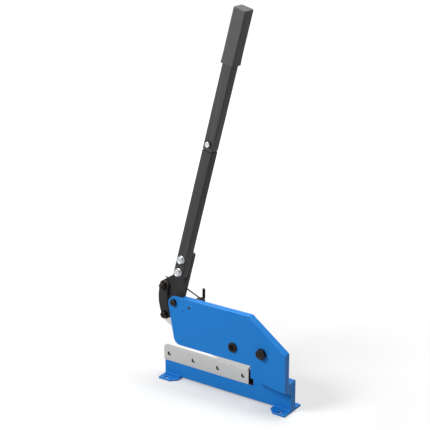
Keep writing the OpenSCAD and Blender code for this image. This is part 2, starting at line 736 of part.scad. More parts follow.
// fixed leg: straight through the cheek, a quarter bend, then level to the coil's rear turn
leg_dir = unit2([coil_pts[0][0], coil_pts[0][2]] - hook);
in_pts = concat([[hook[0], y_cheek_front + wire_d * in_share, hook[1]],
                 [hook[0], y_far - bend_r - wire_d, hook[1]]],
    [for (k = [0 : 4]) let (b = 90 * k / 4)
     [hook[0] + leg_dir[0] * bend_r * (1 - cos(b)), y_far - bend_r + bend_r * sin(b),
      hook[1] + leg_dir[1] * bend_r * (1 - cos(b))]]);
// long arm: from the turn beside the bracket to its bend, and on over the stud
last = coil_pts[coil_n];
arm_shares = [0.08, 0.2, 0.5, 0.9, 1];
end_shares = [0.1, 0.5, 1];
function between(a, b, t) = a + (b - a) * t;
out_pts = concat([for (t = arm_shares) between(last, [knee[0], y_arm, knee[1]], t)],
                 [for (t = end_shares) between([knee[0], y_arm, knee[1]], [tip[0], y_arm, tip[1]], t)]);
wire_pts = concat(in_pts, coil_pts, out_pts);
wn = len(wire_pts);
function tangent(i) = unit3(wire_pts[min(wn - 1, i + 1)] - wire_pts[max(0, i - 1)]);
function unit3(v) = v / norm(v);
function flat(v, t) = let (w = v - (v * t) * t) w / norm(w);
normals = [for (i = 0, v = flat([0, 0, 1], tangent(0)); i < wn;
                i = i + 1, v = i < wn ? flat(v, tangent(i)) : v) v];
wire_rings = [for (i = [0 : wn - 1]) let (t = tangent(i), u = normals[i], w = cross(t, u))
    for (k = [0 : ring_n - 1]) let (b = 360 * k / ring_n)
    wire_pts[i] + wire_d / 2 * (u * cos(b) + w * sin(b))];
wire_faces = concat(
    [for (i = [0 : wn - 2], k = [0 : ring_n - 1]) let (a = i * ring_n + k, b = i * ring_n + (k + 1) % ring_n)
        each [[a, b, b + ring_n], [a, b + ring_n, a + ring_n]]],
    [for (k = [1 : ring_n - 2]) let (e = (wn - 1) * ring_n) each [[0, k + 1, k], [e, e + k, e + k + 1]]]);
// Least distance between points of the wire that lie more than a coil radius apart along it, less
// the wire itself
run_len = [for (i = 0, l = 0; i < wn; i = i + 1, l = i < wn ? l + norm(wire_pts[i] - wire_pts[i - 1]) : l) l];
wire_gap = min([for (i = [0 : wn - 1], j = [i + 1 : 1 : wn - 1])
                if (run_len[j] - run_len[i] > coil_r) norm(wire_pts[i] - wire_pts[j])]) - wire_d;
echo(wire_gap = wire_gap);
module return_spring() {
    color("#26231f") place() polyhedron(points = wire_rings, faces = wire_faces, convexity = 10);
}

base_web();
foot_left();
foot_right();
foot_welds();
front_cheek();
inner_cheek();
spacer_block();
end_gusset();
lower_blade();
lower_blade_bolts();
bar_bushing();
upper_blade();
main_pivot_bolt();
main_pivot_washer();
main_pivot_nut();
lever_plate();
lever_pivot_sleeve();
lever_pivot_bolt();
lever_pivot_washer();
lever_pivot_nut();
link_front();
link_rear();
link_studs();
link_washers();
link_nuts();
lower_tube();
tube_bolts();
tube_nuts();
coupling_bar();
coupling_bolt();
coupling_washer();
coupling_nut();
upper_tube();
grip();
spring_bracket();
bracket_rivet();
spring_pin();
return_spring();
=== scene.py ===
import math

import bmesh
import bpy
from mathutils import Matrix, Vector


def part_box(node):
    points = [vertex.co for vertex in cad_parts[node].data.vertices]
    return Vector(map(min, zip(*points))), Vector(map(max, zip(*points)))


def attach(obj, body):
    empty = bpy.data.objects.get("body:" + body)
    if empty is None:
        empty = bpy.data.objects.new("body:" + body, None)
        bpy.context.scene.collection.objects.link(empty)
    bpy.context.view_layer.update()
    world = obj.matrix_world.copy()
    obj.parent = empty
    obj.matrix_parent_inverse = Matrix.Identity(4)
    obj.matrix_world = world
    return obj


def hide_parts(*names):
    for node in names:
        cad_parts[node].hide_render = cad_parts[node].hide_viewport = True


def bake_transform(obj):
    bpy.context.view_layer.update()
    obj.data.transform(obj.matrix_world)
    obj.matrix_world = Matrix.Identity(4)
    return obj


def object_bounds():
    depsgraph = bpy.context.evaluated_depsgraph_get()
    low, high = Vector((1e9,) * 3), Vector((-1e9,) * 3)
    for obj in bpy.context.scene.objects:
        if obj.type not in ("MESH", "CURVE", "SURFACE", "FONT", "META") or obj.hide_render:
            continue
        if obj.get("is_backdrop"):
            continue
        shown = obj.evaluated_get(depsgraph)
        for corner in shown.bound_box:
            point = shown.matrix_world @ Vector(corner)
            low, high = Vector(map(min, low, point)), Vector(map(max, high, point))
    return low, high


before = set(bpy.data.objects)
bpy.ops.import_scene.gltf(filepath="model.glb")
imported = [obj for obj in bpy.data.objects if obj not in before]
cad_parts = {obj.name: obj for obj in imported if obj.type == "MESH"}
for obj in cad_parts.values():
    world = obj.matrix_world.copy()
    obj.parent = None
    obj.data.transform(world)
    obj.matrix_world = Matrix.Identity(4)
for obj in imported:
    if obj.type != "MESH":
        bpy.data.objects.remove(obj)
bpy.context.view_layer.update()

# Studio
# White paper under soft lamps, and a long lens from the right of the front, a little above the
# tool, as the photograph was taken. Places are in metres, on the frame's own axes.
WHITE = (1, 1, 1, 1)
scene = bpy.context.scene
scene.view_settings.view_transform = "Standard"


def linear(code):
    """Linear colour of an sRGB hex value."""
    parts = [int(code[i : i + 2], 16) / 255 for i in (0, 2, 4)]
    return [p / 12.92 if p <= 0.04045 else ((p + 0.055) / 1.055) ** 2.4 for p in parts] + [1]


def add(mat, kind, links=(), **settings):
    """Adds one node with its settings; links are (own input, other node, its output)."""
    made = mat.node_tree.nodes.new("ShaderNode" + kind)
    for key, value in settings.items():
        if hasattr(made, key) and key not in made.inputs:
            setattr(made, key, value)
        else:
            made.inputs[key.replace("_", " ")].default_value = value
    for own, other, output in links:
        mat.node_tree.links.new(other.outputs[output], made.inputs[own])
    return made


camera_place = Vector((1.2720, -1.8601, 1.1409))
look_at = Vector((-0.0272, 0.0155, 0.3691))
half_picture, focal = 215, 1260  # in pixels of the photograph
sensor_w = 36  # in millimetres
cam_data = bpy.data.cameras.new("camera")
camera = bpy.data.objects.new("camera", cam_data)
scene.collection.objects.link(camera)
camera.location = camera_place
camera.rotation_mode = "QUATERNION"
camera.rotation_quaternion = (look_at - camera_place).to_track_quat("-Z", "Y")
cam_data.sensor_width = sensor_w
cam_data.lens = sensor_w / 2 * focal / half_picture
cam_data.clip_start, cam_data.clip_end = 0.1, 50
scene.camera = camera


def seen(target):
    """One for camera, mirror and transmission rays, which see the white background."""
    rays = add(target, "LightPath")
    glossy = add(
        target, "Math", [(0, rays, "Is Glossy Ray"), (1, rays, "Is Transmission Ray")], operation="MAXIMUM"
    )
    return add(target, "Math", [(0, rays, "Is Camera Ray"), (1, glossy, 0)], operation="MAXIMUM")


soft_light = 0.1
world = bpy.data.worlds.new("studio")
scene.world = world
world.use_nodes = True
world.node_tree.nodes.clear()
white = add(world, "Background", Color=WHITE, Strength=1)
soft = add(world, "Background", Color=WHITE, Strength=soft_light)
world_mix = add(world, "MixShader", [(0, seen(world), 0), (1, soft, 0), (2, white, 0)])
add(world, "OutputWorld", [(0, world_mix, 0)])


def material(name):
    """An empty material, to be filled with nodes."""
    mat = bpy.data.materials.new(name)
    mat.use_nodes = True
    mat.node_tree.nodes.clear()
    return mat


# the paper glows for the camera: little near the tool, so that its shadow stays, and more
# further off, where the lamps fall short
floor_w, floor_drop = 12, 0.0005
shadow_reach, white_reach = 0.35, 1.6
glow_near, glow_far = 0.34, 0.95
bpy.ops.mesh.primitive_plane_add(size=floor_w, location=(0, 0, -floor_drop))
floor = bpy.context.object
floor.name = "floor"
floor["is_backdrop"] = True
paper = material("white_paper")
matt = add(paper, "BsdfDiffuse", Color=linear("B8B8B8"))
paper_spot = add(paper, "TexCoord")
away = add(paper, "VectorMath", [(0, paper_spot, "Object")], operation="LENGTH")
level = add(
    paper, "MapRange", [("Value", away, "Value")],
    From_Min=shadow_reach, From_Max=white_reach, To_Min=glow_near, To_Max=glow_far,
)
glow = add(paper, "Emission", [("Strength", level, 0)], Color=WHITE)
both = add(paper, "AddShader", [(0, matt, 0), (1, glow, 0)])
paper_mix = add(paper, "MixShader", [(0, seen(paper), 0), (1, matt, 0), (2, both, 0)])
add(paper, "OutputMaterial", [(0, paper_mix, 0)])
floor.data.materials.append(paper)


def lamp(name, place, aim, size, watts):
    """Soft rectangular lamp at a place, turned to a point on the tool."""
    data = bpy.data.lights.new(name, "AREA")
    data.shape, data.size, data.size_y, data.energy = "RECTANGLE", size[0], size[1], watts
    obj = bpy.data.objects.new(name, data)
    scene.collection.objects.link(obj)
    obj.location = place
    obj.rotation_mode = "QUATERNION"
    obj.rotation_quaternion = (Vector(aim) - Vector(place)).to_track_quat("-Z", "Y")


lamp("key_lamp", place=(-0.9, -1.8, 1.9), aim=(0, 0, 0.3), size=(0.9, 0.9), watts=61)
lamp("top_lamp", place=(0.2, 0.3, 2.4), aim=(0, 0, 0.2), size=(1.2, 1.0), watts=50)
lamp("fill_lamp", place=(2.2, -0.6, 0.9), aim=(0, 0, 0.25), size=(1.0, 1.4), watts=0.4)

# Base web and seat
# Flat bar of mild steel on edge, 15 mm thick, milled down on its front for the fixed blade. The
# stand is sprayed and stoved blue after welding; the milled seat stays bare, and its near-black
# colour there is partly oily bare steel and partly painted shade in the recess.
MM = 0.001  # the frame is in metres
TOUCH = 0.001 * MM  # corners this near are one corner
SLIVER = 0.02 * MM  # a bevel's corners this near are one
FLAT, SHARP = 0.5, 30  # degrees: below the first, faces are one flat; above the second, an edge


def shell(node, whole=True):
    """A copy of a CAD node's mesh with its corners merged and, as a rule, its flat faces whole."""
    mesh = bmesh.new()
    mesh.from_mesh(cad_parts[node].data)
    bmesh.ops.remove_doubles(mesh, verts=mesh.verts, dist=TOUCH)
    if whole:
        bmesh.ops.dissolve_limit(mesh, angle_limit=math.radians(FLAT), verts=mesh.verts, edges=mesh.edges)
    return mesh


def angle(edge):
    """Angle in degrees between the two faces of an edge."""
    return math.degrees(edge.calc_face_angle(0))


def soften(mesh, width):
    """Rounds every sharp edge, marks the narrow faces, and shades flats flat."""
    mark = mesh.faces.layers.float.get("edge") or mesh.faces.layers.float.new("edge")
    edges = [e for e in mesh.edges if angle(e) > SHARP]
    made = bmesh.ops.bevel(
        mesh, geom=edges, offset=width, offset_type="OFFSET", affect="EDGES",
        segments=2, profile=0.5, material=-1, clamp_overlap=True,
    )
    for face in made["faces"]:
        face[mark] = 1
    bmesh.ops.remove_doubles(mesh, verts=mesh.verts, dist=SLIVER)
    for face in mesh.faces:
        bends = [e for e in face.edges if FLAT < angle(e) < SHARP]
        round_wall = any(all(f[mark] == 0 for f in e.link_faces) for e in bends)
        face.smooth = face[mark] == 1 or round_wall


def piece(mesh, name, body, nodes, *materials):
    """Makes the mesh an object that rides on a body, if one is given, and stands for CAD nodes."""
    data = bpy.data.meshes.new(name)
    mesh.to_mesh(data)
    mesh.free()
    obj = bpy.data.objects.new(name, data)
    scene.collection.objects.link(obj)
    for mat in materials:
        data.materials.append(mat)
    nodes = [nodes] if isinstance(nodes, str) else nodes
    if body:
        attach(obj, body)
    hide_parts(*nodes)
    return obj


def stoving_enamel(name, code, shade, thin_coat_and_highlight):
    """Alkyd enamel, sprayed and stoved on steel: a soft gloss with a faint orange peel, a little
    uneven in depth, and paler on its rounded edges, partly where it runs thin and partly as a painted
    highlight."""
    peel_w, peel_h, cloud_w = 1.8 * MM, 0.3 * MM, 50 * MM
    mat = material(name)
    spot = add(mat, "TexCoord")
    peel = add(mat, "TexNoise", [("Vector", spot, "Object")], Scale=1 / peel_w, Detail=2)
    cloud = add(mat, "TexNoise", [("Vector", spot, "Object")], Scale=1 / cloud_w, Detail=4)
    edge = add(mat, "Attribute", attribute_name="edge")
    thin_edge_and_highlight_mask = add(mat, "Math", [(0, edge, "Fac"), (1, cloud, 0)], operation="MULTIPLY")
    base = add(mat, "MixRGB", [("Fac", cloud, 0)], Color1=linear(shade), Color2=linear(code))
    # the rounded edges get a paler colour: partly the thinner coat, partly a painted highlight
    colour = add(mat, "MixRGB", [("Fac", thin_edge_and_highlight_mask, 0), ("Color1", base, 0)], Color2=linear(thin_coat_and_highlight))
    rough = add(mat, "MapRange", [("Value", cloud, 0)], To_Min=0.3, To_Max=0.44)
    bump = add(mat, "Bump", [("Height", peel, 0)], Strength=0.12, Distance=peel_h)
    shader = add(
        mat, "BsdfPrincipled", [("Base Color", colour, 0), ("Roughness", rough, 0), ("Normal", bump, 0)],
        IOR=1.5, Specular_IOR_Level=0.1,
    )
    add(mat, "OutputMaterial", [("Surface", shader, 0)])
    return mat


def bare_steel(name, code, stain):
    """Milled mild steel left bare under oil: dark and dull, with uneven brown stains. Where it is used, its
    near-black colour is also painted shade.
    """
    stain_w, stain_h = 6 * MM, 0.1 * MM
    mat = material(name)
    spot = add(mat, "TexCoord")
    blotch = add(mat, "TexNoise", [("Vector", spot, "Object")], Scale=1 / stain_w, Detail=5)
    colour = add(mat, "MixRGB", [("Fac", blotch, 0)], Color1=linear(code), Color2=linear(stain))
    rough = add(mat, "MapRange", [("Value", blotch, 0)], To_Min=0.5, To_Max=0.8)
    bump = add(mat, "Bump", [("Height", blotch, 0)], Strength=0.2, Distance=stain_h)
    shader = add(
        mat, "BsdfPrincipled", [("Base Color", colour, 0), ("Roughness", rough, 0), ("Normal", bump, 0)],
        Metallic=0.5,
    )
    add(mat, "OutputMaterial", [("Surface", shader, 0)])
    return mat


# the last colour is the paler edge colour, partly a painted highlight along the edges
blue = stoving_enamel("blue_stoving_enamel", "237DCC", "1C76C5", "86B9F0")
# near black: partly oily bare steel, partly painted shade in the seat recess and the blade's holes
oily_steel_and_painted_shade = bare_steel("oily_milled_steel_painted_shade", "141210", "1E1915")

web_edge_r = 0.5 * MM
seat_gap = 11.5 * MM  # the seat runs on past the blade's end
near = 0.2 * MM
blade_low, blade_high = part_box("lower_blade")
web = shell("base_web")
# the seat faces take the near-black steel, which is partly painted shade in the recess
for face in web.faces:
    middle = face.calc_center_median()
    milled = blade_low.y + near < middle.y < blade_high.y + near and blade_low.z - near < middle.z
    face.material_index = 1 if milled and middle.x < blade_high.x + seat_gap + near else 0
soften(web, web_edge_r)
piece(web, "base_web_painted", "frame", "base_web", blue, oily_steel_and_painted_shade)

# Feet
# Two plates of 4 mm steel, cut on one corner, welded under the ends of the web, each with one
# bolt hole in front; painted with the rest of the stand.
foot_edge_r = 0.4 * MM
for side in ("left", "right"):
    foot = shell("foot_" + side)
    soften(foot, foot_edge_r)
    piece(foot, "foot_plate_" + side, "frame", "foot_" + side, blue)

# Weld beads
# Short fillet welds by hand, in front of the web and behind it, under the same paint: each is a
# row of overlapping drops, as the pool of metal freezes ripple by ripple.
drop_pitch, start_share = 2.4 * MM, 0.7
drop_share, wave_share, inset_share, long_share = 0.8, 0.05, 0.22, 1.1  # of the weld's leg
wave_step = 2.3
weld_low, weld_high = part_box("foot_welds")
foot_low, foot_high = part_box("foot_left")
leg = weld_high.z - weld_low.z
bead_l = foot_high.x - foot_low.x - leg
inset = leg * inset_share
stretch = Matrix.Diagonal((long_share, 1, 1, 1))
beads = bmesh.new()
for start in (weld_low.x, weld_high.x - bead_l):
    for corner, out in ((weld_low.y + leg, -1), (weld_high.y - leg, 1)):
        for i in range(int(bead_l / drop_pitch)):
            radius = leg * (drop_share + wave_share * math.sin(i * wave_step + start / MM))
            centre = (start + drop_pitch * (i + start_share), corner + out * inset, weld_low.z + inset)
            matrix = Matrix.Translation(centre) @ stretch
            bmesh.ops.create_uvsphere(beads, u_segments=14, v_segments=8, radius=radius, matrix=matrix)
for face in beads.faces:
    face.smooth = True
piece(beads, "weld_beads", "frame", "foot_welds", blue)

# Cheek plates
# Two plates cut by laser and welded face to face: the front one carries the pivots, the inner
# one behind it keeps the moving blade clear. Painted blue, the seam between them shows dark.
cheek_edge_r = 1.1 * MM
for node, name in (("front_cheek", "cheek_front_plate"), ("inner_cheek", "cheek_inner_plate")):
    cheek = shell(node)
    soften(cheek, cheek_edge_r)
    piece(cheek, name, "frame", node, blue)

# Spacer and end gusset
# A filler bar between cheek and web, and a gusset that carries the cheek's end down the web's
# front. Both are welded in flush and painted.
filler_edge_r = 0.35 * MM
for node, name in (("spacer_block", "spacer_bar"), ("end_gusset", "end_gusset_plate")):
    filler = shell(node)
    soften(filler, filler_edge_r)
    piece(filler, name, "frame", node, blue)

# Fixed blade
# Hardened tool steel, surface ground all over, so fine lines run along it; the edges are crisp
# and the four bolt holes go right through, each with a small countersink in front.


def ground_steel(name, code, shade, rough_low, rough_high):
    """Surface-ground tool steel: even grey with fine lines along the blade, a little duller in
    patches where the wheel passed."""
    line_w = 0.5 * MM  # the wheel's real marks are finer; this is as fine as a close view shows
    line_l, line_h, patch_w = 60 * MM, 0.03 * MM, 25 * MM
    mat = material(name)
    spot = add(mat, "TexCoord")
    along = add(mat, "Mapping", [("Vector", spot, "Object")], Scale=(1 / line_l, 1 / line_w, 1 / line_w))
    lines = add(mat, "TexNoise", [("Vector", along, 0)], Scale=1, Detail=4)
    patch = add(mat, "TexNoise", [("Vector", spot, "Object")], Scale=1 / patch_w, Detail=3)
    colour = add(mat, "MixRGB", [("Fac", lines, 0)], Color1=linear(shade), Color2=linear(code))
    rough = add(mat, "MapRange", [("Value", patch, 0)], To_Min=rough_low, To_Max=rough_high)
    bump = add(mat, "Bump", [("Height", lines, 0)], Strength=0.1, Distance=line_h)
    shader = add(
        mat, "BsdfPrincipled", [("Base Color", colour, 0), ("Roughness", rough, 0), ("Normal", bump, 0)],
        Metallic=1,
    )
    add(mat, "OutputMaterial", [("Surface", shader, 0)])
    return mat


fixed_steel = ground_steel("ground_tool_steel", "C8C8C7", "AEAEAD", 0.14, 0.26)
sink_w, blade_edge_r = 0.7 * MM, 0.3 * MM
rim_x, rim_z = 5 * MM, 4 * MM  # the holes lie further in than this from the blade's outline
fixed = shell("lower_blade")
sunk = []
# the hole walls and countersinks take the near-black steel: partly oily drilled steel, partly painted shade
# inside the holes
for face in fixed.faces:
    middle = face.calc_center_median()
    in_x = blade_low.x + rim_x < middle.x < blade_high.x - rim_x
    in_z = blade_low.z + rim_z < middle.z < blade_high.z - rim_z
    if abs(face.normal.y) < 0.1 and in_x and in_z:
        face.material_index = 1
        sunk += [e for e in face.edges if max(v.co.y for v in e.verts) < blade_low.y + near]
made = bmesh.ops.bevel(
    fixed, geom=list(set(sunk)), offset=sink_w, offset_type="OFFSET", affect="EDGES",
    segments=1, profile=0.5, material=-1, clamp_overlap=True,
)
# the countersink faces get the same near-black steel, partly as painted shade
for face in made["faces"]:
    face.material_index = 1
soften(fixed, blade_edge_r)
piece(fixed, "fixed_blade", "frame", "lower_blade", fixed_steel, oily_steel_and_painted_shade)

# Blade bolts
# Four hexagon screws of zinc-plated steel that hold the fixed blade. They come from behind
# through the web, and their chamfered ends are set back in the blade's holes.
CHAMFER = math.tan(math.radians(30))  # slope at the corners of heads and nuts


def turned(points, closed=False, steps=48):
    """A turned shape about Z from its profile of (radius, height) points."""
    mesh = bmesh.new()
    verts = [mesh.verts.new((r, 0, h)) for r, h in points]
    pairs = list(zip(verts, verts[1:])) + ([(verts[-1], verts[0])] if closed else [])
    edges = [mesh.edges.new(pair) for pair in pairs]
    bmesh.ops.spin(mesh, geom=verts + edges, axis=(0, 0, 1), angle=2 * math.pi, steps=steps, use_merge=True)
    bmesh.ops.remove_doubles(mesh, verts=mesh.verts, dist=TOUCH)
    bmesh.ops.recalc_face_normals(mesh, faces=mesh.faces)
    return mesh


def six_flats(mesh, flats):
    """Cuts six flats on a turned shape, which leaves the curved corners of a real bolt or nut."""
    for k in range(6):
        turn = math.radians(30 + 60 * k)
        out = Vector((math.cos(turn), math.sin(turn), 0))
        whole = mesh.verts[:] + mesh.edges[:] + mesh.faces[:]
        cut = bmesh.ops.bisect_plane(
            mesh, geom=whole, dist=TOUCH, plane_co=out * flats / 2, plane_no=out, clear_outer=True
        )
        rim = [e for e in cut["geom_cut"] if isinstance(e, bmesh.types.BMEdge)]
        bmesh.ops.edgeloop_fill(mesh, edges=rim)
    return mesh


def hex_head(size):
    """Hexagon head, chamfered all round, with the shallow dish that forging leaves in its face."""
    face_share, dish_share, deep_share, floor_share = 0.47, 0.36, 0.03, 0.85
    flats, height = size["flats"], size["head"]
    corner, face = flats / math.sqrt(3), flats * face_share
    dish, deep = flats * dish_share, flats * deep_share
    slope = (corner - face) * CHAMFER
    profile = [
        (0, 0), (corner, 0), (corner, height - slope), (face, height),
        (dish, height), (dish * floor_share, height - deep), (0, height - deep),
    ]
    return six_flats(turned(profile), flats)


def hex_nut(size):
    """Hexagon nut chamfered on both faces, with a countersunk bore."""
    face_share, sink_share = 0.48, 0.08
    flats, height, bore = size["flats"], size["nut"], size["radius"]
    corner, face, sink = flats / math.sqrt(3), flats * face_share, bore * sink_share
    slope = (corner - face) * CHAMFER
    profile = [
        (bore, sink), (bore + sink, 0), (face, 0), (corner, slope),
        (corner, height - slope), (face, height), (bore + sink, height), (bore, height - sink),
    ]
    return six_flats(turned(profile, closed=True), flats)


def shank(size, top, bare, end):
    """Shank in one piece between heights: plain from top to bare, then thread grooves to its
    chamfered end."""
    depth_share = 0.55
    radius, pitch = size["radius"], size["pitch"]
    depth, count = pitch * depth_share, int(abs(end - bare) / pitch) - 1
    way = math.copysign(1, end - bare)
    points = [(0, top), (radius, top), (radius, bare)]
    for i in range(1, count):
        points += [(radius, bare + way * i * pitch), (radius - depth, bare + way * (i + 0.5) * pitch)]
    points += [(radius, bare + way * count * pitch), (radius - depth, end), (0, end)]
    return turned(points, steps=32)


def join(meshes):
    """One mesh out of several, which are used up."""
    whole = bmesh.new()
    for part in meshes:
        data = bpy.data.meshes.new("part")
        part.to_mesh(data)
        part.free()
        whole.from_mesh(data)
        bpy.data.meshes.remove(data)
    return whole


def along_y(meshes, x, y, z, lean=0):
    """Joins turned meshes and sets them with their Z along -Y and their seat at y."""
    whole = join(meshes)
    turn = Matrix.Rotation(lean, 4, "Y") @ Matrix.Rotation(math.radians(90), 4, "X")
    bmesh.ops.transform(whole, matrix=Matrix.Translation((x, y, z)) @ turn, verts=whole.verts)
    return whole


def hardware(meshes, name, body, nodes, *materials):
    """Joins placed fasteners into one piece, smooth between its sharp edges."""
    sharp = 25  # degrees
    whole = join(meshes)
    for edge in whole.edges:
        edge.smooth = angle(edge) < sharp
    for face in whole.faces:
        face.smooth = True
    return piece(whole, name, body, nodes, *materials)


def zinc_plate(name, code, tint):
    """Bright zinc plating on steel: nearly white, with a faint bluish drift and small dull spots."""
    drift_w, drift_h = 7 * MM, 0.05 * MM
    mat = material(name)
    spot = add(mat, "TexCoord")
    drift = add(mat, "TexNoise", [("Vector", spot, "Object")], Scale=1 / drift_w, Detail=4)
    colour = add(mat, "MixRGB", [("Fac", drift, 0)], Color1=linear(code), Color2=linear(tint))
    rough = add(mat, "MapRange", [("Value", drift, 0)], To_Min=0.16, To_Max=0.4)
    bump = add(mat, "Bump", [("Height", drift, 0)], Strength=0.1, Distance=drift_h)
    shader = add(
        mat, "BsdfPrincipled", [("Base Color", colour, 0), ("Roughness", rough, 0), ("Normal", bump, 0)],
        Metallic=1,
    )
    add(mat, "OutputMaterial", [("Surface", shader, 0)])
    return mat


zinc = zinc_plate("bright_zinc", "D2D2D4", "8E9298")
m8 = {"radius": 4 * MM, "flats": 13 * MM, "head": 5.2 * MM, "nut": 6.4 * MM, "pitch": 1.25 * MM}
in_head = 1 * MM  # a shank starts this far inside its head
plain_l = 5 * MM
set_out = 2.5 * MM  # the chamfered ends come a little nearer to the blade's face than in the CAD
half_turn = Matrix.Rotation(math.radians(180), 3, "Z")
low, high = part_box("lower_blade_bolts")
corner_r = m8["flats"] / math.sqrt(3)
first, last = low.x + corner_r, high.x - corner_r
web_back = high.y - m8["head"]
screws = []
for i in range(4):
    rod = shank(m8, in_head, -plain_l, low.y - set_out - web_back)
    screw = along_y([hex_head(m8), rod], 0, 0, 0)
    bmesh.ops.rotate(screw, matrix=half_turn, verts=screw.verts)
    place = (first + (last - first) * i / 3, web_back, (low.z + high.z) / 2)
    bmesh.ops.translate(screw, vec=place, verts=screw.verts)
    screws.append(screw)
hardware(screws, "blade_screws", "frame", "lower_blade_bolts", zinc)

# Bar bushing
# Turned steel guide with a flange, pressed into the cheek for round bar and blackened, so it is
# nearly black with a brown cast.


def black_oxide(name, code, brown, rough_low, rough_high):
    """Steel blackened in hot salt and oiled: near black, browner where the film is thin."""
    film_w, film_h = 2.2 * MM, 0.12 * MM
    mat = material(name)
    spot = add(mat, "TexCoord")
    film = add(mat, "TexNoise", [("Vector", spot, "Object")], Scale=1 / film_w, Detail=5)
    colour = add(mat, "MixRGB", [("Fac", film, 0)], Color1=linear(code), Color2=linear(brown))
    rough = add(mat, "MapRange", [("Value", film, 0)], To_Min=rough_low, To_Max=rough_high)
    bump = add(mat, "Bump", [("Height", film, 0)], Strength=0.5, Distance=film_h)
    shader = add(
        mat, "BsdfPrincipled", [("Base Color", colour, 0), ("Roughness", rough, 0), ("Normal", bump, 0)],
        Metallic=0.8,
    )
    add(mat, "OutputMaterial", [("Surface", shader, 0)])
    return mat


black = black_oxide("black_oxide_steel", "12110F", "312B27", 0.26, 0.56)
collar_r, collar_h, sleeve_r, bore_r, chamfer = 10 * MM, 3 * MM, 7.5 * MM, 5.25 * MM, 0.6 * MM
low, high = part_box("bar_bushing")
x, z = (low.x + high.x) / 2, (low.z + high.z) / 2
deep = high.y - low.y - collar_h
bush = turned([
    (bore_r, -deep), (sleeve_r, -deep), (sleeve_r, 0), (collar_r, 0), (collar_r, collar_h - chamfer),
    (collar_r - chamfer, collar_h), (bore_r + chamfer, collar_h), (bore_r, collar_h - chamfer),
], closed=True)
hardware([along_y([bush], x, low.y + collar_h, z)], "bar_guide", "frame", "bar_bushing", black)

# Moving blade
# One plate of hardened steel from the link to the main pivot, ground bright, its long cutting
# edge bowed so that it cuts from the throat outwards; the front of the edge is honed to a bevel.
moving_steel = ground_steel("bright_ground_steel", "CCCCCB", "BCBCBB", 0.16, 0.28)
# the honed bevel is lighter than the blade's steel: partly its finer finish, partly a painted highlight
# along the cutting edge
honed_steel_and_highlight = ground_steel("honed_edge_painted_highlight", "DEDEDE", "D2D2D2", 0.18, 0.26)
honed_w = 2.4 * MM
edge_from, edge_to = 8 * MM, 206 * MM  # the cutting edge, from the blade's left end
steep = 60  # degrees
blade = shell("upper_blade")
low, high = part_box("upper_blade")
under = []
for edge in blade.edges:
    a, b = (v.co for v in edge.verts)
    in_front = max(a.y, b.y) < low.y + near
    facing_down = any(f.normal.z < -0.3 for f in edge.link_faces)
    in_reach = low.x + edge_from < min(a.x, b.x) and max(a.x, b.x) < low.x + edge_to
    if in_front and facing_down and in_reach and angle(edge) > steep:
        under.append(edge)
made = bmesh.ops.bevel(
    blade, geom=under, offset=honed_w, offset_type="OFFSET", affect="EDGES",
    segments=1, profile=0.5, material=-1, clamp_overlap=True,
)
# the bevel faces take the lighter steel, partly as a painted highlight
for face in made["faces"]:
    face.material_index = 1
soften(blade, blade_edge_r)
piece(blade, "moving_blade_plate", "moving_blade", "upper_blade", moving_steel, honed_steel_and_highlight)

# Main pivot
# Blackened M12 bolt through both cheek plates and the moving blade's heel, which turns on its
# plain part. A flat washer and a nut hold it behind.


def washer(outer, bore, thickness):
    """Flat washer with one rounded rim, as it is stamped."""
    lip_share = 0.25
    lip = thickness * lip_share
    profile = [(bore, 0), (outer, 0), (outer, thickness - lip), (outer - lip, thickness), (bore, thickness)]
    return turned(profile, closed=True)


def pivot_set(size, seat, node, name):
    """Black bolt from the front, with its head on the seat, and its washer and nut behind."""
    low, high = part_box(node + "_bolt")
    x, z = (low.x + high.x) / 2, (low.z + high.z) / 2
    nut_low, nut_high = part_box(node + "_nut")
    bolt = [hex_head(size), shank(size, in_head, seat - nut_low.y, seat - high.y)]
    hardware([along_y(bolt, x, seat, z)], name + "_bolt", "frame", node + "_bolt", black)
    hardware([along_y([hex_nut(size)], x, nut_high.y, z)], name + "_nut", "frame", node + "_nut", black)
    low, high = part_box(node + "_washer")
    ring = washer((high.x - low.x) / 2, size["radius"], high.y - low.y)
    hardware([along_y([ring], x, high.y, z)], name + "_washer", "frame", node + "_washer", black)
    return x, z


m12 = {"radius": 6 * MM, "flats": 19 * MM, "head": 7.8 * MM, "nut": 9.6 * MM, "pitch": 1.75 * MM}
cheek_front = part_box("front_cheek")[0].y
pivot_set(m12, cheek_front, "main_pivot", "main")

# Lever plate
# Flat steel arm, flame cut and painted satin dark grey, that turns on the lever pivot between
# the two links and carries the handle tube on its face.


